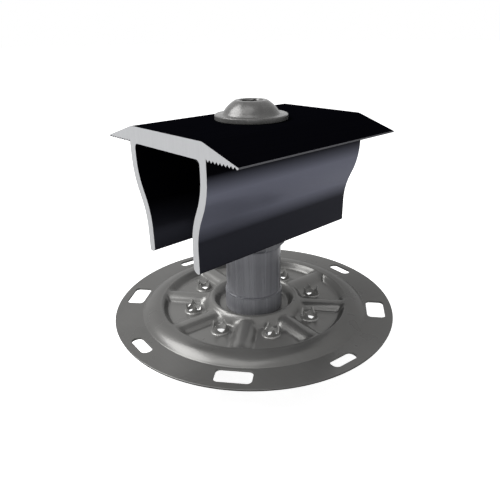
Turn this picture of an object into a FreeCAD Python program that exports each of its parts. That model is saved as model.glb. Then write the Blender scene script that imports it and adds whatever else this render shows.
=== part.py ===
import FreeCAD, Part
import math
import os
from FreeCAD import Vector

# Solar panel mid clamp, in millimetres.
# The clamp head is one extrusion along Y: a plate with two toothed wings that hold a panel frame
# each, and two curved legs that straddle the standoff. A flanged button-head screw draws the head
# down into the standoff, whose foot seats on a pressed, ribbed disc with pierced contact points.
# Frame: +Z up, origin on the disc's underside at the screw's axis.

# Screw thread
thread_radius = 4.0
thread_play = 0.05
thread_chamfer = 0.7

# Pressed disc
disc_radius = 38.1
sheet = 0.6
hub_play = 0.1
bend_cut = 0.5

ring_radius = 11.7
ring_crest = 1.2
ring_run = 1.5
ring_height = 2.6

ridge_radius = 27.5
ridge_crest = 1.8
ridge_run = 2.05
ridge_height = 2.0

rib_count = 8
rib_angle = -51.0
rib_base = 6.0
rib_top = 2.8
rib_height = 1.7

slot_margin = 2.1
wide_slot_length = 8.8
wide_slot_width = 4.8
wide_slot_corner = 1.2
narrow_slot_length = 7.4
narrow_slot_width = 3.0
narrow_slot_corner = 1.3

point_radius = 17.1
point_collar = 2.05
point_wall = 0.35
point_flare = 0.4
point_height = 2.4
notch_floor = 0.5
notch_width = 1.0

# Standoff
foot_radius = 7.85
foot_height = 5.2
barrel_radius = 7.45
hex_width = 15.0
hex_start = 18.1
hex_lead = 1.2
edge_chamfer = 0.35
pilot_radius = 4.2
stud_length = 14.0
bore_spare = 0.9
mouth_chamfer = 0.4

# Clamp head, placed by the room left between the disc and the plate's underside
frame_room = 46.85
travel = 15.0
stop_gap = 1.6
head_length = 50.8
plate_thickness = 3.8
top_width = 26.3
top_edge_radius = 3.0
wing_span = 47.6
wing_drop = 3.35
nose_height = 0.3
nose_inset = 0.42
tooth_pitch = 1.065
tooth_depth = 0.55
leg_spread = 28.44
leg_thickness = 2.07
leg_length = 26.1
leg_play = 0.4
bend_drop = 3.3
bend_height = 17.0
leg_corner_outer = 0.5
leg_corner_inner = 1.3
root_fillet = 1.2
screw_hole_radius = 4.5

# Clamp screw
screw_length = 30.0
flange_radius = 8.9
flange_height = 1.25
flange_edge = 0.25
dome_radius = 6.6
dome_flat = 3.5
dome_height = 4.4
dome_runs = 4
socket_width = 5.0
socket_depth = 2.6

up = Vector(0, 0, 1)
axis_base = Vector(0, 0, 0)
seat_z = sheet
plate_under = seat_z + frame_room
plate_top = plate_under + plate_thickness
hex_top = plate_under - travel - stop_gap
screw_tip = plate_top - screw_length
bore_bottom = screw_tip - travel - bore_spare
hex_corner = hex_width / math.sqrt(3)


def point(x, z):
    return Vector(x, 0, z)


def polyline(points):
    return [Part.makeLine(a, b) for a, b in zip(points, points[1:])]


def face_from(edges):
    return Part.Face(Part.Wire(edges))


def revolved(points):
    closed = points + points[:1]
    return face_from(polyline(closed)).revolve(axis_base, up, 360)


def turned(shape, degrees):
    copy = shape.copy()
    copy.rotate(axis_base, up, degrees)
    return copy


def ring_of(shape, count, first_angle):
    return [turned(shape, first_angle + i * 360.0 / count) for i in range(count)]


def points_about(centre, start, end, runs):
    """Points on the arc about a centre from start to end, evenly spaced."""
    radius = (start - centre).Length
    first = math.atan2(start.z - centre.z, start.x - centre.x)
    last = math.atan2(end.z - centre.z, end.x - centre.x)
    points = []
    for i in range(runs + 1):
        angle = first + (last - first) * i / runs
        points.append(centre + point(math.cos(angle), math.sin(angle)) * radius)
    return points


def bevelled(points, cut):
    """The same polyline, with a short run in place of each corner that stands proud."""
    eased = [points[0]]
    for before, corner, after in zip(points, points[1:], points[2:]):
        a = corner - before
        b = after - corner
        if a.x * b.z - a.z * b.x < 0:
            eased.append(corner - a.normalize() * cut)
            eased.append(corner + b.normalize() * cut)
        else:
            eased.append(corner)
    eased.append(points[-1])
    return eased


def parallel_below(points, gap):
    """The same polyline, each run moved by the gap towards its lower side."""
    lines = []
    for a, b in zip(points, points[1:]):
        run = (b - a).normalize()
        lower = Vector(run.z, 0, -run.x) * gap
        lines.append((a + lower, run))
    moved = [lines[0][0]]
    for (a, run_a), (b, run_b) in zip(lines, lines[1:]):
        across = run_a.x * run_b.z - run_a.z * run_b.x
        along = ((b.x - a.x) * run_b.z - (b.z - a.z) * run_b.x) / across
        moved.append(a + run_a * along)
    last = lines[-1][1]
    lower = Vector(last.z, 0, -last.x) * gap
    moved.append(points[-1] + lower)
    return moved


def region_under(points):
    """Face between a polyline and a level line well below the sheet."""
    floor = -2 * sheet
    closing = [point(points[-1].x, floor), point(points[0].x, floor), points[0]]
    return face_from(polyline(points + closing))


# Disc

def ring_corners(radius, crest, run, height):
    """Corners of one raised ring on the disc's upper side, from its inner toe outwards."""
    inner = radius - crest / 2
    outer = radius + crest / 2
    return [
        point(inner - run, seat_z),
        point(inner, seat_z + height),
        point(outer, seat_z + height),
        point(outer + run, seat_z),
    ]


def dish_points():
    """The disc's upper side from its centre to its rim, without ribs."""
    ring = ring_corners(ring_radius, ring_crest, ring_run, ring_height)
    ridge = ring_corners(ridge_radius, ridge_crest, ridge_run, ridge_height)
    return [point(0, seat_z)] + ring + ridge + [point(disc_radius, seat_z)]


def rib_points():
    """The upper side across one rib, in the XZ plane and centred on X = 0."""
    reach = rib_base / 2 + sheet
    return [
        point(-reach, seat_z),
        point(-rib_base / 2, seat_z),
        point(-rib_top / 2, seat_z + rib_height),
        point(rib_top / 2, seat_z + rib_height),
        point(rib_base / 2, seat_z),
        point(reach, seat_z),
    ]


def pressed_body(lower_side):
    """Everything below the disc's upper surface, or below its lower surface."""
    if lower_side:
        dish_line = parallel_below(dish_points(), sheet)
        rib_line = parallel_below(rib_points(), sheet)
    else:
        dish_line = bevelled(dish_points(), bend_cut)
        rib_line = bevelled(rib_points(), bend_cut)
    dish = region_under(dish_line).revolve(axis_base, up, 360)
    rib = region_under(rib_line).extrude(Vector(0, ridge_radius - ring_radius, 0))
    rib.translate(Vector(0, ring_radius, 0))
    ribs = ring_of(turned(rib, -90), rib_count, rib_angle)
    return dish.multiFuse(ribs)


def slot_tool(width, length, corner):
    """Round-cornered slot across the rim, its long side along the tangent."""
    block = Part.makeBox(width, length, 4 * sheet)
    inner_side = disc_radius - slot_margin - width
    block.translate(Vector(inner_side, -length / 2, seat_z - 3 * sheet))
    upright = [e for e in block.Edges if abs(e.tangentAt(0).z) > 0.9]
    return block.makeFillet(corner, upright)


def point_crown():
    """Pierced contact point: a collar on a flared foot, notched into four teeth."""
    rim_z = seat_z + point_height
    bore = point_collar - point_wall
    foot = point_collar + point_flare
    crown = revolved([
        point(bore, 0),
        point(foot, 0),
        point(foot, seat_z),
        point(point_collar, seat_z + point_flare),
        point(point_collar, rim_z),
        point(bore, rim_z),
    ])
    reach = 2 * foot
    half_gap = point_collar * math.sin(math.pi / 4)
    floor_z = seat_z + notch_floor
    notch_section = [
        point(-notch_width / 2, floor_z),
        point(notch_width / 2, floor_z),
        point(half_gap, rim_z + sheet),
        point(-half_gap, rim_z + sheet),
        point(-notch_width / 2, floor_z),
    ]
    notch = face_from(polyline(notch_section)).extrude(Vector(0, 2 * reach, 0))
    notch.translate(Vector(0, -reach, 0))
    crown = crown.cut([turned(notch, 45), turned(notch, -45)])
    crown.translate(Vector(point_radius, 0, 0))
    return crown


def bonding_disc():
    sheet_body = pressed_body(False).cut(pressed_body(True))
    hole = Part.makeCylinder(pilot_radius + hub_play, 4 * sheet, Vector(0, 0, -sheet))
    wide_slot = slot_tool(wide_slot_width, wide_slot_length, wide_slot_corner)
    narrow_slot = slot_tool(narrow_slot_width, narrow_slot_length, narrow_slot_corner)
    slots = ring_of(wide_slot, rib_count // 2, rib_angle)
    slots += ring_of(narrow_slot, rib_count // 2, rib_angle + 360.0 / rib_count)
    piercing = Part.makeCylinder(point_collar, 4 * sheet, Vector(point_radius, 0, -sheet))
    between = rib_angle + 180.0 / rib_count
    piercings = ring_of(piercing, rib_count, between)
    crowns = ring_of(point_crown(), rib_count, between)
    return sheet_body.cut([hole] + slots + piercings).multiFuse(crowns).removeSplitter()


# Standoff

def hexagon(width, height, base_z, turn):
    """Hexagonal prism on the Z axis, measured across its flats, with its first corner at turn."""
    corners = []
    for i in range(7):
        angle = math.radians(turn + 60 * i)
        outwards = Vector(math.cos(angle), math.sin(angle), 0)
        corners.append(outwards * (width / math.sqrt(3)) + Vector(0, 0, base_z))
    return face_from(polyline(corners)).extrude(Vector(0, 0, height))


def standoff():
    """Hexagon bar turned down to a barrel, a foot and a threaded stud, and tapped from the top."""
    hex_base = seat_z + hex_start
    head = hexagon(hex_width, hex_top - hex_base, hex_base, 30)
    lead = revolved([
        point(0, hex_base),
        point(barrel_radius, hex_base),
        point(hex_corner, hex_base + hex_lead),
        point(hex_corner, hex_top - edge_chamfer),
        point(hex_corner - 2 * edge_chamfer, hex_top),
        point(0, hex_top),
    ])
    foot_top = seat_z + foot_height
    stud_tip = -stud_length
    lower = revolved([
        point(0, hex_base),
        point(barrel_radius, hex_base),
        point(barrel_radius, foot_top),
        point(foot_radius - edge_chamfer, foot_top),
        point(foot_radius, foot_top - edge_chamfer),
        point(foot_radius, seat_z),
        point(pilot_radius, seat_z),
        point(pilot_radius, 0),
        point(thread_radius, 0),
        point(thread_radius, stud_tip + thread_chamfer),
        point(thread_radius - thread_chamfer, stud_tip),
        point(0, stud_tip),
    ])
    bore = revolved([
        point(0, bore_bottom),
        point(thread_radius, bore_bottom),
        point(thread_radius, hex_top - mouth_chamfer),
        point(thread_radius + mouth_chamfer, hex_top),
        point(0, hex_top),
    ])
    return head.common(lead).fuse(lower).cut(bore).removeSplitter()


# Clamp head

def leg_edges(side_shift, upper_end, lower_end):
    """One face of the right leg from the plate down: straight, S-bend of two equal arcs, straight.
    side_shift moves it outwards from the leg's middle line."""
    middle_top = leg_spread / 2 - leg_thickness / 2
    middle_low = hex_width / 2 + leg_play + leg_thickness / 2
    shift = middle_top - middle_low
    angle = 2 * math.atan(shift / bend_height)
    radius = bend_height / (2 * math.sin(angle))
    upper_z = plate_under - bend_drop
    lower_z = upper_z - bend_height
    upper_centre = point(middle_top - radius, upper_z)
    lower_centre = point(middle_low + radius, lower_z)

    def on_upper(turn):
        return upper_centre + point(math.cos(turn), -math.sin(turn)) * (radius + side_shift)

    def on_lower(turn):
        return lower_centre + point(-math.cos(turn), math.sin(turn)) * (radius - side_shift)

    return [
        Part.makeLine(point(middle_top + side_shift, upper_end), on_upper(0)),
        Part.Arc(on_upper(0), on_upper(angle / 2), on_upper(angle)).toShape(),
        Part.Arc(on_lower(angle), on_lower(angle / 2), on_lower(0)).toShape(),
        Part.makeLine(on_lower(0), point(middle_low + side_shift, lower_end)),
    ]


def wing_points():
    """The right wing from the plate's top edge, round its nose and along its teeth to the leg."""
    half_span = wing_span / 2
    nose_z = plate_top - wing_drop
    root_z = plate_under + tooth_depth
    leg_face = leg_spread / 2
    last_tooth = half_span - nose_inset
    points = [
        point(0, plate_top),
        point(top_width / 2, plate_top),
        point(half_span, nose_z),
        point(half_span, nose_z - nose_height),
    ]
    count = int((last_tooth - leg_face) / tooth_pitch) + 1
    for i in range(count):
        tip = last_tooth - i * tooth_pitch
        points.append(point(tip, plate_under))
        points.append(point(max(tip - tooth_pitch / 2, leg_face), root_z))
    if points[-1].x > leg_face:
        points.append(point(leg_face, root_z))
    return points


def edges_at(shape, places):
    """Long edges of an extrusion along Y that run through the given points of its section."""
    found = []
    for edge in shape.Edges:
        a, b = edge.Vertexes[0].Point, edge.Vertexes[-1].Point
        if abs(a.y - b.y) < head_length / 2:
            continue
        if any(math.hypot(a.x - p.x, a.z - p.z) < 0.01 for p in places):
            found.append(edge)
    return found


def clamp_head():
    leg_bottom = plate_under - leg_length
    root_z = plate_under + tooth_depth
    outer = leg_edges(leg_thickness / 2, root_z, leg_bottom)
    inner = leg_edges(-leg_thickness / 2, plate_under, leg_bottom)
    wing = wing_points()
    outer_foot = outer[-1].Vertexes[-1].Point
    inner_foot = inner[-1].Vertexes[-1].Point
    inner_root = inner[0].Vertexes[0].Point
    edges = polyline(wing) + outer
    edges.append(Part.makeLine(outer_foot, inner_foot))
    edges += list(reversed(inner))
    edges += polyline([inner_root, point(0, plate_under), wing[0]])
    half = face_from(edges).extrude(Vector(0, head_length, 0))
    half.translate(Vector(0, -head_length / 2, 0))
    half = half.makeFillet(top_edge_radius, edges_at(half, [wing[1]]))
    half = half.makeFillet(root_fillet, edges_at(half, [inner_root]))
    half = half.makeFillet(leg_corner_inner, edges_at(half, [inner_foot]))
    half = half.makeFillet(leg_corner_outer, edges_at(half, [outer_foot]))
    other = half.mirror(axis_base, Vector(1, 0, 0))
    hole = Part.makeCylinder(screw_hole_radius, 2 * plate_thickness, point(0, plate_under - 1))
    return half.fuse(other).removeSplitter().cut(hole)


# Clamp screw

def clamp_screw():
    """Flanged button-head screw: flange, dome with a flat top, hexagonal socket and shank."""
    shank = thread_radius - thread_play
    flange_top = plate_top + flange_height
    dome_foot = point(dome_radius, flange_top)
    dome_edge = point(dome_flat, plate_top + dome_height)
    rise = dome_height - flange_height
    centre_drop = (dome_radius ** 2 - dome_flat ** 2 - rise ** 2) / (2 * rise)
    dome_centre = point(0, flange_top - centre_drop)
    edges = polyline([
        point(0, screw_tip),
        point(shank - thread_chamfer, screw_tip),
        point(shank, screw_tip + thread_chamfer),
        point(shank, plate_top),
        point(flange_radius, plate_top),
        point(flange_radius, flange_top - flange_edge),
        point(flange_radius - flange_edge, flange_top),
    ] + points_about(dome_centre, dome_foot, dome_edge, dome_runs) + [
        point(0, dome_edge.z),
        point(0, screw_tip),
    ])
    screw = face_from(edges).revolve(axis_base, up, 360)
    socket_floor = dome_edge.z - socket_depth
    return screw.cut(hexagon(socket_width, socket_depth, socket_floor, 0))


parts = {
    "bonding_disc": bonding_disc(),
    "standoff": standoff(),
    "clamp_head": clamp_head(),
    "clamp_screw": clamp_screw(),
}

os.makedirs("parts", exist_ok=True)
for name, shape in parts.items():
    solid = shape.Solids[0] if len(shape.Solids) == 1 else shape
    solid.exportStep("parts/" + name + ".step")
    box = solid.BoundBox
    print(name, "solids", len(shape.Solids), "valid", solid.isValid(), "mm3", round(solid.Volume, 1),
          "z", round(box.ZMin, 2), round(box.ZMax, 2), "x", round(box.XMin, 2), round(box.XMax, 2))
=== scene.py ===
import math

import bmesh
import bpy
from mathutils import Matrix, Vector


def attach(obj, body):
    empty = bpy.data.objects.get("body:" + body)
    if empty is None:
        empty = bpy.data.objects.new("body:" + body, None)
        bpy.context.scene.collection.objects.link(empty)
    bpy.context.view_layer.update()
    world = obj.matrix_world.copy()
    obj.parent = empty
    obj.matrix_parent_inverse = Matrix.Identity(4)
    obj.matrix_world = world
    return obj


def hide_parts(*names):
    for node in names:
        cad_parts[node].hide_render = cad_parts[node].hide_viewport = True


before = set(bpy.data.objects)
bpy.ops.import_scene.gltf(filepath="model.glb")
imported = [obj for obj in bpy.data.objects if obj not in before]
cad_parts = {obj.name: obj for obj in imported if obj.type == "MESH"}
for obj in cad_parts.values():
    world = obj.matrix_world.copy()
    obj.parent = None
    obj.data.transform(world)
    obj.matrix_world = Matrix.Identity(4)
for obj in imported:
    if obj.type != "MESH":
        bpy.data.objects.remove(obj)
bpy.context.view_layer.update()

# Lengths are in metres. The clamp head's extrusion runs along Y, the screw stands on the Z axis.
MM = 0.001

# Meshes: the gap that is welded shut, and the turn between points of a bend or an arc
WELD = 0.002 * MM
BEND_STEP = math.radians(9)
ARC_STEP_DEGREES = 6

# Pressed disc
SHEET = 0.6 * MM
RIM_RADIUS = 38.1 * MM
HUB_HOLE = 4.3 * MM
RING_CREST = (11.1 * MM, 12.3 * MM)
RING_TOES = (9.6 * MM, 13.8 * MM)
RING_HEIGHT = 2.6 * MM
RIDGE_TOE = 24.1 * MM
RIDGE_TOP = 26.2 * MM
RIDGE_BEND = 6.7 * MM
RIDGE_HEIGHT = 1.75 * MM
RIDGE_SLOPE = 1.35
RIB_FIRST = math.radians(-51)
RIB_COUNT = 8
RIB_SECTOR = 2 * math.pi / RIB_COUNT
RIB_HALF_BASE = 3.0 * MM
RIB_HALF_CREST = 1.4 * MM
RIB_HEIGHT = 1.7 * MM
SLOTS_REACH = 36.0 * MM
WIDE_SLOT = (4.8 * MM, 8.8 * MM, 1.2 * MM)
NARROW_SLOT = (3.0 * MM, 7.4 * MM, 1.3 * MM)
PUNCH_HEIGHT = 8 * SHEET
CROWN_CIRCLE = 17.1 * MM
CROWN_RADIUS = 2.05 * MM
CROWN_BORE = 1.7 * MM
CROWN_HEIGHT = 2.4 * MM

# How softly two pressed faces run into each other
CREST_BLEND = 1.2 * MM
RIDGE_CREST_BLEND = 0.6 * MM
RIB_TO_RING_BLEND = 3.0 * MM
RIB_TO_RIDGE_BLEND = 1.6 * MM
RING_TO_RIDGE_BLEND = 0.3 * MM
POCKET_BLEND = 0.7 * MM
TOE_BLEND = 0.45 * MM
RIM_BLEND = 0.1 * MM

# Standoff
STANDOFF_TOP = 30.85 * MM
HEX_FLATS = 15.0 * MM
BORE_RADIUS = 4.0 * MM
STUD_END = -14 * MM
FOOT_TOP = 5.8 * MM

# Clamp head
PLATE_UNDER = 47.45 * MM
PLATE_TOP = 51.25 * MM
HEAD_HALF_LENGTH = 25.4 * MM
HEAD_HOLE = 4.5 * MM
WING_REACH = 23.8 * MM
LEG_FACE = 14.22 * MM
LEG_HALF = 1.035 * MM
LEG_PLAY = 0.4 * MM
LEG_HIGH_X = LEG_FACE - LEG_HALF
LEG_LOW_X = HEX_FLATS / 2 + LEG_PLAY + LEG_HALF
BOW_TOP = PLATE_UNDER - 3.3 * MM
BOW_HEIGHT = 17.0 * MM
BOW_LOW = BOW_TOP - BOW_HEIGHT
LEG_BOTTOM = PLATE_UNDER - 26.1 * MM

# Thread
PITCH = 1.25 * MM
THREAD_DEPTH = 0.7 * MM
THREAD_STEPS = 48

# Studio
SKY_LIGHT = 0.30
FLOOR_GLOW = 0.85
FLOOR_SHEEN = 0.2
FLOOR_Z = -14.02 * MM
WHITE = (1, 1, 1, 1)
LAMP_AIM = (0, 0, 0.015)
LAMPS = (  # name, position, size, power
    ("key", (-0.288, -0.252, 0.477), (0.42, 0.28), 3.8),
    ("top", (0.03, -0.16, 0.62), (0.30, 0.30), 0.8),
    ("fill", (0.50, -0.46, 0.22), (0.5, 0.5), 0.8),
)

# Camera
CAMERA_TURN = math.radians(47.224)
CAMERA_HEIGHT = math.radians(24.085)
CAMERA_ROLL = math.radians(-0.813)
CAMERA_DISTANCE = 135.75 * MM
CAMERA_AIM = (0, 0, 15.14 * MM)
CAMERA_LENS = 36.024
CAMERA_SENSOR = 36
CAMERA_SHIFT = (-0.0065, 0.0099)


# Modelling

def deselect_all():
    bpy.ops.object.select_all(action="DESELECT")


def only(piece):
    """The piece alone selected and active."""
    deselect_all()
    piece.select_set(True)
    bpy.context.view_layer.objects.active = piece


def bend(before, corner, after, radius):
    """Points of a round bend in place of a corner of a line in the XZ plane."""
    a = (Vector(before) - Vector(corner)).normalized()
    b = (Vector(after) - Vector(corner)).normalized()
    half = a.angle(b) / 2
    centre = Vector(corner) + (a + b).normalized() * (radius / math.sin(half))
    start = Vector(corner) + a * (radius / math.tan(half)) - centre
    end = Vector(corner) + b * (radius / math.tan(half)) - centre
    sweep = start.angle_signed(end)
    count = max(2, math.ceil(abs(sweep) / BEND_STEP))
    points = []
    for i in range(count + 1):
        turn = -sweep * i / count
        points.append((
            centre.x + start.x * math.cos(turn) - start.y * math.sin(turn),
            centre.y + start.x * math.sin(turn) + start.y * math.cos(turn),
        ))
    return points


def arc(centre, radius, first, last):
    """Points of an arc in the XZ plane, its angles in degrees from +X towards +Z."""
    count = max(2, math.ceil(abs(last - first) / ARC_STEP_DEGREES))
    points = []
    for i in range(count + 1):
        angle = math.radians(first + (last - first) * i / count)
        points.append((
            centre[0] + radius * math.cos(angle),
            centre[1] + radius * math.sin(angle),
        ))
    return points


def eased(corners):
    """The line through the corners, (x, z) or (x, z, bend radius), with its bends rounded."""
    points = []
    for i, corner in enumerate(corners):
        if len(corner) == 3 and 0 < i < len(corners) - 1:
            points += bend(corners[i - 1][:2], corner[:2], corners[i + 1][:2], corner[2])
        else:
            points.append(tuple(corner[:2]))
    return points


def drawn(name, points):
    """A line drawn point by point in the XZ plane, left in edit mode with all of it selected."""
    deselect_all()
    bpy.ops.mesh.primitive_plane_add(size=MM)
    piece = bpy.context.object
    piece.name = piece.data.name = name
    bpy.ops.object.mode_set(mode="EDIT")
    bpy.ops.mesh.select_mode(type="VERT")
    bpy.ops.mesh.select_all(action="SELECT")
    bpy.ops.mesh.merge(type="CENTER")
    at = Vector((points[0][0], 0, points[0][1]))
    bpy.ops.transform.translate(value=at)
    for x, z in points[1:]:
        there = Vector((x, 0, z))
        bpy.ops.mesh.extrude_vertices_move(TRANSFORM_OT_translate={"value": there - at})
        at = there
    bpy.ops.mesh.select_all(action="SELECT")
    return piece


def face_outwards():
    """Every face of the mesh in edit mode turned outwards, and edit mode left."""
    bpy.ops.mesh.select_all(action="SELECT")
    bpy.ops.mesh.normals_make_consistent(inside=False)
    bpy.ops.object.mode_set(mode="OBJECT")


def spun(steps):
    """The drawn line swept once round the Z axis and welded."""
    bpy.ops.mesh.spin(steps=steps, angle=2 * math.pi, center=(0, 0, 0), axis=(0, 0, 1))
    bpy.ops.mesh.select_all(action="SELECT")
    bpy.ops.mesh.remove_doubles(threshold=WELD)
    face_outwards()


def lathed(name, corners, steps=96):
    """A closed solid turned about the Z axis from its outline."""
    piece = drawn(name, eased(corners))
    spun(steps)
    return piece


def extruded(name, points, start, end):
    """A closed solid extruded along Y from a closed outline."""
    piece = drawn(name, points)
    bpy.ops.transform.translate(value=(0, start, 0))
    bpy.ops.mesh.edge_face_add()
    bpy.ops.mesh.extrude_region_move(TRANSFORM_OT_translate={"value": (0, end - start, 0)})
    face_outwards()
    return piece


def settled(piece):
    """The piece with its place, turn and scale moved into its mesh."""
    only(piece)
    bpy.ops.object.transform_apply(location=True, rotation=True, scale=True)
    return piece


def upright_bar(sides, radius, length, centre, turn=0):
    """A round or many-sided bar along Z, as a start or as a cutter."""
    deselect_all()
    bpy.ops.mesh.primitive_cylinder_add(vertices=sides, radius=radius, depth=length,
                                        location=centre, rotation=(0, 0, turn))
    return settled(bpy.context.object)


def modified(piece, kind, **settings):
    """The piece with one modifier applied."""
    only(piece)
    modifier = piece.modifiers.new(kind.title(), kind)
    for name, value in settings.items():
        setattr(modifier, name, value)
    bpy.ops.object.modifier_apply(modifier=modifier.name)
    return piece


def combined(piece, other, operation, solver="EXACT"):
    """The piece cut by, joined to or limited to the other, which is used up."""
    modified(piece, "BOOLEAN", object=other, operation=operation, solver=solver)
    bpy.data.objects.remove(other, do_unlink=True)
    return piece


def joined(piece, others):
    """The piece with the others' meshes added to its own."""
    only(piece)
    for other in others:
        other.select_set(True)
    bpy.ops.object.join()
    return piece


def ring_of(piece, count, first):
    """Copies of the piece round the Z axis, each with its own mesh, in place of the piece."""
    copies = []
    for i in range(count):
        copy = piece.copy()
        copy.data = piece.data.copy()
        bpy.context.collection.objects.link(copy)
        copy.rotation_euler = (0, 0, first + i * 2 * math.pi / count)
        copies.append(settled(copy))
    bpy.data.objects.remove(piece, do_unlink=True)
    return copies


def smoothed(piece, degrees):
    """The piece shaded smooth across edges that turn less than this."""
    only(piece)
    bpy.ops.object.shade_smooth_by_angle(angle=math.radians(degrees))
    return piece


def threaded_rod(name, radius, low, high, blank):
    """A rod with a helical thread that passes both ends, cut to the outline of its blank."""
    root = radius - THREAD_DEPTH
    crest_half = PITCH / 16
    base = low - 2 * PITCH
    crest = base + PITCH * 9 / 16
    turns = math.ceil((high - low) / PITCH) + 3
    rod = drawn(name, [
        (root, base),
        (root, base + PITCH / 8),
        (radius, crest - crest_half),
        (radius, crest + crest_half),
        (root, base + PITCH),
    ])
    bpy.ops.object.mode_set(mode="OBJECT")
    modified(rod, "SCREW", axis="Z", angle=2 * math.pi, screw_offset=PITCH, iterations=turns,
             steps=THREAD_STEPS, render_steps=THREAD_STEPS,
             use_merge_vertices=True, merge_threshold=WELD)
    only(rod)
    bpy.ops.object.mode_set(mode="EDIT")
    bpy.ops.mesh.select_all(action="SELECT")
    bpy.ops.mesh.remove_doubles(threshold=WELD)
    bpy.ops.mesh.select_all(action="SELECT")
    bpy.ops.mesh.fill_holes(sides=0)
    face_outwards()
    combined(rod, lathed("blank", blank), "INTERSECT")
    return smoothed(rod, 40)


# Bonding disc

def smooth_max(a, b, spread):
    overlap = max(spread - abs(a - b), 0)
    return max(a, b) + overlap * overlap / (4 * spread)


def smooth_min(a, b, spread):
    return -smooth_max(-a, -b, spread)


def ring_wall(radius):
    """Height of the ring's outer wall, which goes on below zero."""
    return (RING_TOES[1] - radius) * RING_HEIGHT / (RING_TOES[1] - RING_CREST[1])


def ridge_wall(radius):
    """Height of the ridge's inner wall, which goes on below zero."""
    return (radius - RIDGE_TOE) * RIDGE_SLOPE


def ring_form(radius):
    """Height of the ring at this radius; outside its toes it goes on below zero."""
    inner = (radius - RING_TOES[0]) * RING_HEIGHT / (RING_CREST[0] - RING_TOES[0])
    return smooth_min(min(inner, ring_wall(radius)), RING_HEIGHT, CREST_BLEND)


def ridge_form(radius):
    """Height of the ridge: a steep wall inside, and one long bend outside."""
    widest = 0.9 * RIDGE_BEND
    over = min(max(radius - RIDGE_TOP, 0), widest)
    outer = RIDGE_HEIGHT - RIDGE_BEND + math.sqrt(RIDGE_BEND ** 2 - over ** 2)
    return smooth_min(ridge_wall(radius), outer, RIDGE_CREST_BLEND)


def off_rib(angle):
    """How far round this angle is from the middle of the nearest rib."""
    return (angle - RIB_FIRST + RIB_SECTOR / 2) % RIB_SECTOR - RIB_SECTOR / 2


def pressed_height(radius, angle):
    """How far the press has raised the sheet at this place."""
    aside = abs(radius * math.sin(off_rib(angle)))
    wall = (RIB_HALF_BASE - aside) * RIB_HEIGHT / (RIB_HALF_BASE - RIB_HALF_CREST)
    wall = smooth_max(wall, ring_wall(radius), RIB_TO_RING_BLEND)
    wall = smooth_max(wall, ridge_wall(radius), RIB_TO_RIDGE_BLEND)
    rib = smooth_min(wall, RIB_HEIGHT, CREST_BLEND)
    rib = min(rib, radius - RING_CREST[0], RIDGE_TOP + 1.0 * MM - radius)
    raised = smooth_max(ring_form(radius), ridge_form(radius), RING_TO_RIDGE_BLEND)
    raised = smooth_max(raised, rib, POCKET_BLEND)
    return smooth_max(raised, 0, TOE_BLEND if radius < RIDGE_TOP else RIM_BLEND)


def beside_ribs(radius, angle):
    """The angle moved so that the mesh runs along the nearest rib, closest on its walls."""
    off = off_rib(angle)
    share = abs(off) / (RIB_SECTOR / 2)
    crest_share = 2 / 30
    wall_share = 0.5
    crest_turn = min(1.0 * MM / radius, 0.075)
    base_turn = min(3.4 * MM / radius, 0.27)
    if share < crest_share:
        turn = crest_turn * share / crest_share
    elif share < wall_share:
        on_wall = (share - crest_share) / (wall_share - crest_share)
        turn = crest_turn + (base_turn - crest_turn) * on_wall
    else:
        in_pocket = (share - wall_share) / (1 - wall_share)
        turn = base_turn + (RIB_SECTOR / 2 - base_turn) * in_pocket
    return angle - off + math.copysign(turn, off)


def stations(start, runs):
    """Radii from the start outwards, each run, (its end, count), evenly divided."""
    radii = [start]
    for end, count in runs:
        radii += [start + (end - start) * (i + 1) / count for i in range(count)]
        start = end
    return radii


def slot_punch(width, length, corner):
    """A rounded punch through the rim, its long side along the tangent."""
    deselect_all()
    bpy.ops.mesh.primitive_cube_add(size=1, location=(SLOTS_REACH - width / 2, 0, 0))
    punch = bpy.context.object
    punch.scale = (width, length, PUNCH_HEIGHT)
    settled(punch)
    bpy.ops.object.mode_set(mode="EDIT")
    bpy.ops.mesh.select_mode(type="EDGE")
    bpy.ops.mesh.select_all(action="DESELECT")
    shell = bmesh.from_edit_mesh(punch.data)
    for edge in shell.edges:
        a, b = edge.verts
        edge.select_set(abs(a.co.z - b.co.z) > SHEET)
    bmesh.update_edit_mesh(punch.data)
    bpy.ops.mesh.bevel(offset=corner, offset_type="OFFSET", segments=10, clamp_overlap=False)
    bpy.ops.object.mode_set(mode="OBJECT")
    return punch


def contact_crown():
    """A pierced point: a collar that rises from the sheet in a flare and ends in four teeth."""
    top = SHEET + CROWN_HEIGHT
    flare = 0.6 * MM
    edge = 0.08 * MM
    sunk = 0.02 * MM
    foot = (CROWN_RADIUS + flare + 0.1 * MM, 0.2 * MM)
    crown = lathed("crown", [
        foot,
        (CROWN_RADIUS + flare, SHEET - sunk),
        (CROWN_RADIUS, SHEET - sunk, flare * 0.9),
        (CROWN_RADIUS, top, edge),
        (CROWN_BORE, top, edge),
        (CROWN_BORE, sunk, 0.3 * MM),
        (CROWN_BORE + 0.35 * MM, sunk),
        foot,
    ], steps=56)
    notch_half = CROWN_RADIUS * math.sin(math.pi / 4)
    notch_top = top + 0.3 * MM
    notch_floor = SHEET + 0.55 * MM
    notch_line = eased([
        (-notch_half, notch_top),
        (-0.8 * MM, notch_floor + 0.5 * MM, 0.3 * MM),
        (0, notch_floor, 0.35 * MM),
        (0.8 * MM, notch_floor + 0.5 * MM, 0.3 * MM),
        (notch_half, notch_top),
    ])
    for turn in (math.pi / 4, -math.pi / 4):
        notch = extruded("notch", notch_line, -4 * MM, 4 * MM)
        notch.rotation_euler = (0, 0, turn)
        combined(crown, settled(notch), "DIFFERENCE")
    crown.location = (CROWN_CIRCLE, 0, 0)
    return smoothed(settled(crown), 38)


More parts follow.
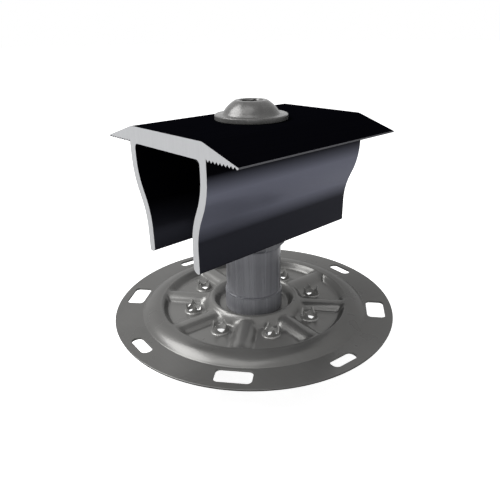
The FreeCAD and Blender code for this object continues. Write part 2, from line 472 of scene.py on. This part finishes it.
def pressed_disc():
    """The bonding disc: sheet pressed into ring, ribs and ridge, punched and pierced."""
    radii = stations(HUB_HOLE, [
        (9.0 * MM, 3),
        (14.6 * MM, 27),
        (23.4 * MM, 12),
        (26.2 * MM, 14),
        (30.3 * MM, 13),
        (31.2 * MM, 7),
        (37.9 * MM, 4),
        (RIM_RADIUS, 2),
    ])
    disc = drawn("pressed_disc", [(radius, SHEET) for radius in radii])
    spun(480)
    for vertex in disc.data.vertices:
        x, y, z = vertex.co
        radius = math.hypot(x, y)
        angle = beside_ribs(radius, math.atan2(y, x))
        rim_drop = 0.08 * MM if radius > RIM_RADIUS - 0.02 * MM else 0
        vertex.co = (radius * math.cos(angle), radius * math.sin(angle),
                     z + pressed_height(radius, angle) - rim_drop)
    if disc.data.polygons[0].normal.z < 0:
        disc.data.flip_normals()
    modified(disc, "SOLIDIFY", thickness=SHEET, offset=-1, use_even_offset=True)
    between = RIB_FIRST + RIB_SECTOR / 2
    wide = slot_punch(*WIDE_SLOT)
    narrow = slot_punch(*NARROW_SLOT)
    punches = ring_of(wide, RIB_COUNT // 2, RIB_FIRST)
    punches += ring_of(narrow, RIB_COUNT // 2, RIB_FIRST + RIB_SECTOR)
    piercing = upright_bar(40, CROWN_BORE + 0.2 * MM, PUNCH_HEIGHT, (CROWN_CIRCLE, 0, 0))
    punches += ring_of(piercing, RIB_COUNT, between)
    for punch in punches:
        combined(disc, punch, "DIFFERENCE", "MANIFOLD")
    smoothed(disc, 40)
    return joined(disc, ring_of(contact_crown(), RIB_COUNT, between))


# Standoff

def tapped_standoff():
    """Hexagon bar turned to a barrel and foot, tapped from the top, with a threaded stud below."""
    corner = HEX_FLATS / math.sqrt(3)
    clear = corner + 0.03 * MM
    hex_base = 18.7 * MM
    barrel = 7.45 * MM
    foot = 7.85 * MM
    neck = 4.2 * MM
    core = 3.4 * MM
    core_end = -1 * MM
    piece = upright_bar(6, corner, 14 * MM, (0, 0, STANDOFF_TOP - 6 * MM))
    piece.name = piece.data.name = "tapped_standoff"
    turned = lathed("turned", [
        (0, hex_base - 0.4 * MM),
        (barrel, hex_base - 0.4 * MM),
        (barrel, hex_base, 0.3 * MM),
        (clear, hex_base + 1.2 * MM),
        (clear, STANDOFF_TOP - 0.36 * MM),
        (corner - 0.67 * MM, STANDOFF_TOP),
        (0, STANDOFF_TOP),
    ], steps=144)
    combined(piece, turned, "INTERSECT")
    body = lathed("body", [
        (0, hex_base),
        (barrel, hex_base),
        (barrel, FOOT_TOP, 0.25 * MM),
        (foot, FOOT_TOP, 0.35 * MM),
        (foot, SHEET, 0.12 * MM),
        (neck, SHEET, 0.1 * MM),
        (neck, 0, 0.1 * MM),
        (core, 0),
        (core, core_end),
        (0, core_end),
    ], steps=144)
    combined(piece, body, "UNION")
    bore_end = 5.35 * MM
    lead = 0.4 * MM
    over = STANDOFF_TOP + 0.05 * MM
    drill = lathed("drill", [
        (0, bore_end),
        (BORE_RADIUS, bore_end),
        (BORE_RADIUS, STANDOFF_TOP - lead),
        (BORE_RADIUS + lead, over),
        (0, over),
    ], steps=72)
    combined(piece, drill, "DIFFERENCE")
    modified(piece, "BEVEL", width=0.1 * MM, segments=3, limit_method="ANGLE",
             angle_limit=math.radians(48))
    smoothed(piece, 32)
    full = 4.02 * MM
    relief = 3.35 * MM
    hidden = 0.3 * MM
    stud = threaded_rod("stud", 4.0 * MM, STUD_END, -0.6 * MM, [
        (0, STUD_END),
        (3.3 * MM, STUD_END),
        (full, -13.28 * MM),
        (full, -0.9 * MM),
        (relief, -0.5 * MM),
        (relief, hidden),
        (0, hidden),
    ])
    return joined(piece, [stud])


# Clamp screw

def button_screw():
    """Flanged button-head screw with a hexagonal socket and a threaded shank."""
    flange = 8.9 * MM
    flange_top = PLATE_TOP + 1.25 * MM
    dome_top = PLATE_TOP + 4.4 * MM
    dome_foot = 7.05 * MM
    dome_flat = 3.9 * MM
    rise = dome_top - flange_top
    drop = (dome_foot ** 2 - dome_flat ** 2 - rise ** 2) / (2 * rise)
    dome_centre = (0, flange_top - drop)
    dome_radius = math.hypot(dome_foot, drop)
    first = math.degrees(math.atan2(drop + 0.1 * MM, dome_foot))
    last = math.degrees(math.atan2(drop + rise, dome_flat))
    core = 3.3 * MM
    core_end = 49 * MM
    outline = eased([
        (0, core_end),
        (core, core_end),
        (core, PLATE_TOP, 0.3 * MM),
        (flange, PLATE_TOP, 0.2 * MM),
        (flange, flange_top, 0.3 * MM),
        (dome_foot + 0.1 * MM, flange_top),
    ])
    outline += arc(dome_centre, dome_radius, first, last)
    outline += [(dome_flat - 0.25 * MM, dome_top + 0.02 * MM), (0, dome_top)]
    screw = lathed("button_screw", outline, steps=128)
    socket_corner = 5.0 * MM / math.sqrt(3)
    socket_depth = 2.6 * MM
    key_length = 4 * MM
    key = upright_bar(6, socket_corner, key_length,
                      (0, 0, dome_top + key_length / 2 - socket_depth), math.radians(30))
    combined(screw, key, "DIFFERENCE")
    lead_low = dome_top - 0.5 * MM
    lead_top = dome_top + 0.1 * MM
    lead = lathed("lead", [
        (0, lead_low),
        (2.45 * MM, lead_low),
        (3.1 * MM, lead_top),
        (0, lead_top),
    ])
    combined(screw, lead, "DIFFERENCE")
    smoothed(screw, 32)
    full = 3.97 * MM
    shank_end = 21.25 * MM
    shank_top = 49.6 * MM
    shank = threaded_rod("shank", 3.95 * MM, shank_end, 50 * MM, [
        (0, shank_end),
        (3.25 * MM, shank_end),
        (full, 21.97 * MM),
        (full, shank_top),
        (0, shank_top),
    ])
    return joined(screw, [shank])


# Clamp head

def leg_line(offset):
    """The bowed middle line of the right leg from its top down, moved outwards by the offset."""
    turn = math.degrees(2 * math.atan((LEG_HIGH_X - LEG_LOW_X) / BOW_HEIGHT))
    radius = BOW_HEIGHT / (2 * math.sin(math.radians(turn)))
    upper = arc((LEG_HIGH_X - radius, BOW_TOP), radius + offset, 0, -turn)
    lower = arc((LEG_LOW_X + radius, BOW_LOW), radius - offset, 180 - turn, 180)
    return upper + lower[1:]


def head_section():
    """The clamp head's right half from the middle of its top, clockwise seen from the front."""
    flat = 13.15 * MM
    nose_z = PLATE_TOP - 3.35 * MM
    nose_edge = 0.06 * MM
    root_z = PLATE_UNDER + 0.55 * MM
    tooth = 1.065 * MM
    tooth_edge = 0.05 * MM
    last_tooth = WING_REACH - 0.42 * MM
    corners = [
        (0, PLATE_TOP),
        (flat, PLATE_TOP, 3.0 * MM),
        (WING_REACH, nose_z, nose_edge),
        (WING_REACH, nose_z - 0.3 * MM, nose_edge),
    ]
    for i in range(int((last_tooth - LEG_FACE) / tooth) + 1):
        tip = last_tooth - i * tooth
        root = tip - tooth / 2
        corners.append((tip, PLATE_UNDER, tooth_edge))
        if root > LEG_FACE + 0.1 * MM:
            corners.append((root, root_z, tooth_edge))
    corners.append((LEG_FACE, root_z, 0.1 * MM))
    corners += leg_line(LEG_HALF)
    corners.append((LEG_LOW_X + LEG_HALF, LEG_BOTTOM, 0.5 * MM))
    corners.append((LEG_LOW_X - LEG_HALF, LEG_BOTTOM, 1.3 * MM))
    corners += reversed(leg_line(-LEG_HALF))
    corners.append((LEG_HIGH_X - LEG_HALF, PLATE_UNDER, 1.2 * MM))
    corners.append((0, PLATE_UNDER))
    return eased(corners)


def extruded_head():
    """The clamp head, one extrusion cut to length, with a hole for the screw."""
    half = head_section()
    whole = half + [(-x, z) for x, z in reversed(half[1:-1])]
    head = extruded("extruded_head", whole, -HEAD_HALF_LENGTH, HEAD_HALF_LENGTH)
    drill = upright_bar(96, HEAD_HOLE, 8 * MM, (0, 0, (PLATE_UNDER + PLATE_TOP) / 2))
    combined(head, drill, "DIFFERENCE")
    return smoothed(head, 24)


# Finishes

class Wire:
    """A socket of a material. Sums on wires add the Math nodes that they need."""

    def __init__(self, tree, socket=None):
        self.tree = tree
        self.socket = socket

    def node(self, kind, settings=None, sockets=None, out=0):
        """A node of any kind, its settings made first, then its sockets set or linked."""
        made = self.tree.nodes.new(kind)
        for name, value in (settings or {}).items():
            setattr(made, name, value)
        for name, value in (sockets or {}).items():
            if isinstance(value, Wire):
                self.tree.links.new(value.socket, made.inputs[name])
            else:
                made.inputs[name].default_value = value
        return Wire(self.tree, made.outputs[out] if made.outputs else None)

    def maths(self, operation, *values):
        return self.node("ShaderNodeMath", {"operation": operation}, dict(enumerate(values)))

    def __add__(self, other):
        return self.maths("ADD", self, other)

    def __radd__(self, other):
        return self.maths("ADD", other, self)

    def __sub__(self, other):
        return self.maths("SUBTRACT", self, other)

    def __rsub__(self, other):
        return self.maths("SUBTRACT", other, self)

    def __mul__(self, other):
        return self.maths("MULTIPLY", self, other)

    def __rmul__(self, other):
        return self.maths("MULTIPLY", other, self)

    def __truediv__(self, other):
        return self.maths("DIVIDE", self, other)

    def __rtruediv__(self, other):
        return self.maths("DIVIDE", other, self)

    def __pow__(self, other):
        return self.maths("POWER", self, other)

    def __rpow__(self, other):
        return self.maths("POWER", other, self)

    def above(self, level):
        return self.maths("GREATER_THAN", self, level)

    def below(self, level):
        return self.maths("LESS_THAN", self, level)

    def size(self):
        return self.maths("ABSOLUTE", self)

    def least(self, level):
        return self.maths("MINIMUM", self, level)

    def held(self):
        """The same value, kept between 0 and 1."""
        return self.maths("MAXIMUM", self, 0.0).least(1.0)

    def rising(self, start, length):
        """0 up to the start, and an even rise from there to 1 over the length."""
        return ((self - start) / length).held()

    def falling(self, end, length):
        """An even fall from 1 over the length, and 0 from the end on."""
        return ((end - self) / length).held()


def finish_named(name):
    """A new material and the wire that its nodes are drawn from."""
    material = bpy.data.materials.new(name)
    material.use_nodes = True
    material.node_tree.nodes.clear()
    return material, Wire(material.node_tree)


def shade(surface):
    surface.node("ShaderNodeOutputMaterial", sockets={"Surface": surface})


def place(wire):
    """Object coordinates: the place itself, and its x, y and z."""
    at = wire.node("ShaderNodeTexCoord", out="Object")
    split = at.node("ShaderNodeSeparateXYZ", sockets={0: at}).socket.node
    return [at] + [Wire(wire.tree, part) for part in split.outputs]


def grain(at, scale, detail, roughness=0.5):
    return at.node("ShaderNodeTexNoise", sockets={
        "Vector": at, "Scale": scale, "Detail": detail, "Roughness": roughness})


def lines(at, scale, detail=2):
    """Grain drawn out along the axes with a low scale."""
    return grain(at.node("ShaderNodeMapping", sockets={"Vector": at, "Scale": scale}), 1, detail)


def mixed(factor, first, second):
    """One colour or the other by the factor; the Mix node's colours are 6, 7 and output 2."""
    return factor.node("ShaderNodeMix", {"data_type": "RGBA"}, {0: factor, 6: first, 7: second}, 2)


def bump(height, distance, strength):
    return height.node("ShaderNodeBump", sockets={
        "Height": height, "Distance": distance, "Strength": strength})


def pressed_stainless():
    """Bright rolled sheet, a little cloudy, with faint rolling lines along X; painted light makes
    it paler inside the ridge and on the crowns, and painted shade darkens the rim's cut edge.
    """
    material, wire = finish_named("pressed_stainless")
    at, x, y, _ = place(wire)
    cloud = grain(at, 70, 4)
    rolled = lines(at, (60, 2000, 200))
    radius = (x * x + y * y) ** 0.5
    # Painted light: the sheet is paler inside the ridge, over the ring and the pockets.
    pocket_painted_light = radius.falling(24.5 * MM, 1.5 * MM)
    # Painted shade: the rim's cut edge is darkened.
    edge = radius.above(RIM_RADIUS - 0.1 * MM)
    # Painted light: round each crown the colour is paler than the sheet's.
    turn = y.maths("ARCTAN2", y, x) - (RIB_FIRST - 2 * math.pi)
    off_crown = turn.maths("MODULO", turn, RIB_SECTOR) - RIB_SECTOR / 2
    aside = radius * off_crown
    along = radius - CROWN_CIRCLE
    from_crown = (aside * aside + along * along) ** 0.5
    crown = from_crown.falling(2.6 * MM, 0.4 * MM)
    sheet = mixed((cloud * 0.4 + rolled * 0.1 + pocket_painted_light * 0.4) * (1 - edge * 0.8),
                  (0.103, 0.102, 0.099, 1), (0.216, 0.214, 0.208, 1))
    shade(wire.node("ShaderNodeBsdfPrincipled", sockets={
        "Base Color": mixed(crown, sheet, (0.30, 0.298, 0.29, 1)),
        "Metallic": 0.42,
        "Roughness": 0.25 + cloud * 0.06,
        "Specular IOR Level": 0.0,
        "Coat Weight": 0.08,
        "Coat Roughness": 0.03,
        "Normal": bump(rolled, 0.01 * MM, 0.006),
    }))
    return material


def turned_stainless():
    """Bright drawn bar, slightly blue, with faint lines along its axis, painted reflection bands
    along it, painted light towards the foot and painted shade on the foot's top edge.
    """
    material, wire = finish_named("turned_stainless")
    at, _, _, z = place(wire)
    # Streaks along the axis: drawing lines in the bump and roughness, and painted reflection bands
    # in the colour.
    streaks_and_painted_reflections = lines(at, (620, 620, 14))
    # Painted light: the bar is paler towards its foot.
    low = z.falling(15 * MM, 10 * MM)
    # Painted shade: the foot's top edge keeps the darkest colour.
    ledge_painted_shade = (z - (FOOT_TOP - 0.05 * MM)).size().below(0.3 * MM)
    shade(wire.node("ShaderNodeBsdfPrincipled", sockets={
        "Base Color": mixed((low * 0.75 + streaks_and_painted_reflections * 0.9 - 0.33) * (1 - ledge_painted_shade),
                            (0.130, 0.132, 0.146, 1), (0.330, 0.334, 0.360, 1)),
        "Metallic": 0.20,
        "Roughness": 0.22 + streaks_and_painted_reflections * 0.10,
        "Specular IOR Level": 0.35,
        "Coat Weight": 0.08,
        "Coat Roughness": 0.04,
        "Normal": bump(streaks_and_painted_reflections, 0.01 * MM, 0.05),
    }))
    return material


def button_stainless():
    """Satin screw metal, darker and smoother in patches, with painted light making flange and
    shank a little paler.
    """
    material, wire = finish_named("button_stainless")
    at, _, _, z = place(wire)
    cloud = grain(at, 420, 5, 0.6)
    # Painted light: the flange and shank are paler.
    flange = z.below(PLATE_TOP + 1.0 * MM)
    shade(wire.node("ShaderNodeBsdfPrincipled", sockets={
        "Base Color": mixed(cloud * 0.6 + flange * 0.4,
                            (0.062, 0.061, 0.060, 1), (0.20, 0.198, 0.195, 1)),
        "Metallic": 0.36,
        "Roughness": 0.21 + cloud * 0.12,
        "Specular IOR Level": 0.2,
        "Normal": bump(cloud, 0.03 * MM, 0.15),
    }))
    return material


def black_anodised():
    """Black skin along the extrusion, glossy on the legs, with a painted reflection band on them
    and a painted highlight on the wing noses, and bare sawn metal on both ends.
    """
    material, wire = finish_named("black_anodised")
    at, x, y, z = place(wire)
    cut = y.size().above(HEAD_HALF_LENGTH - 0.03 * MM)
    # Painted highlight: the wing's nose face is grey instead of black.
    nose_painted_highlight = x.size().above(WING_REACH - 0.08 * MM) * (1 - cut)
    leg = z.below(PLATE_UNDER - 0.15 * MM) * (1 - cut)
    bow = z.rising(BOW_LOW, BOW_HEIGHT)
    middle = bow * bow * (3 - 2 * bow) * (LEG_HIGH_X - LEG_LOW_X) + LEG_LOW_X
    outer = x.size().above(middle)
    # Painted reflection: a blue-grey band on the outer faces of the legs, fading under the wing
    # and towards the foot, and a faint paler lower part on their inner faces.
    from_wing = z.falling(44.6 * MM, 4.5 * MM)
    from_foot = z.rising(28.8 * MM, 4.0 * MM) * 0.86 + 0.14
    inner_foot = z.falling(34 * MM, 8 * MM) * 0.16
    painted_reflection = from_wing * from_foot * outer + inner_foot * (1 - outer)
    die_lines = lines(at, (1800, 3, 1800))
    saw_marks = lines(at, (2200, 60, 160), 3)
    black = mixed(die_lines, (0.0010, 0.0010, 0.0016, 1), (0.0020, 0.0020, 0.0032, 1))
    bare = mixed(saw_marks, (0.415, 0.420, 0.430, 1), (0.485, 0.490, 0.500, 1))
    # Blue-grey of the painted reflection on the legs.
    skin = mixed(painted_reflection, black, (0.145, 0.150, 0.192, 1))
    # Grey of the painted highlight on the wing noses.
    skin = mixed(nose_painted_highlight, skin, (0.13, 0.13, 0.14, 1))
    shade(wire.node("ShaderNodeBsdfPrincipled", sockets={
        "Base Color": mixed(cut, skin, bare),
        "Metallic": leg * 0.35,
        "Roughness": 0.10 + cut * 0.45 + leg * 0.12 + die_lines * 0.03,
        "Specular IOR Level": 0.0,
        "Normal": bump(die_lines * (1 - cut) * 0.3 + saw_marks * cut, 0.01 * MM, 0.1),
    }))
    return material


def lookers(wire):
    """1 where the camera looks at the surface, and 1 where a reflection or glass does."""
    path = wire.node("ShaderNodeLightPath").socket.node.outputs
    eye, mirror, glass = [Wire(wire.tree, path[name])
                          for name in ("Is Camera Ray", "Is Glossy Ray", "Is Transmission Ray")]
    return eye, (mirror + glass).least(1.0)


def pale_floor():
    """A pale floor that is seen as white and keeps a faint shadow."""
    material, wire = finish_named("pale_floor")
    eye, mirror = lookers(wire)
    shade(wire.node("ShaderNodeAddShader", sockets={
        0: wire.node("ShaderNodeBsdfDiffuse", sockets={"Color": (0.8, 0.8, 0.8, 1)}),
        1: wire.node("ShaderNodeEmission", sockets={
            "Color": WHITE, "Strength": eye * FLOOR_GLOW + mirror * FLOOR_SHEEN}),
    }))
    return material


# Making the pieces

disc = pressed_disc()
standoff = tapped_standoff()
screw = button_screw()
head = extruded_head()

for piece, node, body, slot, finish in (
    (disc, "bonding_disc", "disc", "pressed_stainless", pressed_stainless()),
    (standoff, "standoff", "standoff", "turned_stainless", turned_stainless()),
    (screw, "clamp_screw", "screw", "turned_stainless", button_stainless()),
    (head, "clamp_head", "head", "black_anodised", black_anodised()),
):
    piece.data.materials.clear()
    piece.data.materials.append(finish)
    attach(piece, body)
    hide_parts(node)


# Studio

def pale_ground():
    """The floor, just under the end of the stud."""
    deselect_all()
    bpy.ops.mesh.primitive_circle_add(vertices=128, radius=4, fill_type="NGON",
                                      location=(0, 0, FLOOR_Z))
    floor = settled(bpy.context.object)
    floor.name = floor.data.name = "floor"
    floor.data.materials.append(pale_floor())
    return floor


def sky():
    """A weak even light from all round that is seen, and reflected, as white."""
    world = bpy.data.worlds.new("studio")
    bpy.context.scene.world = world
    world.use_nodes = True
    world.node_tree.nodes.clear()
    wire = Wire(world.node_tree)
    eye, mirror = lookers(wire)
    strength = (eye + mirror).least(1.0) * (1 - SKY_LIGHT) + SKY_LIGHT
    backdrop = wire.node("ShaderNodeBackground", sockets={"Color": WHITE, "Strength": strength})
    wire.node("ShaderNodeOutputWorld", sockets={"Surface": backdrop})


def lamp(name, position, size, power):
    """A soft lamp that shines on the middle of the object."""
    deselect_all()
    bpy.ops.object.light_add(type="AREA", location=position)
    light = bpy.context.object
    light.name = light.data.name = name
    light.data.shape = "RECTANGLE"
    light.data.size, light.data.size_y = size
    light.data.energy = power
    towards = Vector(LAMP_AIM) - Vector(position)
    light.rotation_euler = towards.to_track_quat("-Z", "Y").to_euler()


def camera():
    """The camera that shows the object as the photograph does, in a square frame."""
    back = Vector((
        math.sin(CAMERA_TURN) * math.cos(CAMERA_HEIGHT),
        -math.cos(CAMERA_TURN) * math.cos(CAMERA_HEIGHT),
        math.sin(CAMERA_HEIGHT),
    ))
    right = Vector((math.cos(CAMERA_TURN), math.sin(CAMERA_TURN), 0))
    up = back.cross(right)
    rolled_right = right * math.cos(CAMERA_ROLL) + up * math.sin(CAMERA_ROLL)
    rolled_up = up * math.cos(CAMERA_ROLL) - right * math.sin(CAMERA_ROLL)
    bpy.ops.object.camera_add(location=Vector(CAMERA_AIM) + back * CAMERA_DISTANCE)
    view = bpy.context.object
    view.rotation_euler = Matrix((rolled_right, rolled_up, back)).transposed().to_euler()
    view.data.lens = CAMERA_LENS
    view.data.sensor_width = CAMERA_SENSOR
    view.data.shift_x, view.data.shift_y = CAMERA_SHIFT
    view.data.clip_start = 0.005
    view.data.clip_end = 20
    bpy.context.scene.camera = view


pale_ground()
sky()
for name, position, size, power in LAMPS:
    lamp(name, position, size, power)
camera()

bpy.context.scene.view_settings.view_transform = "Standard"
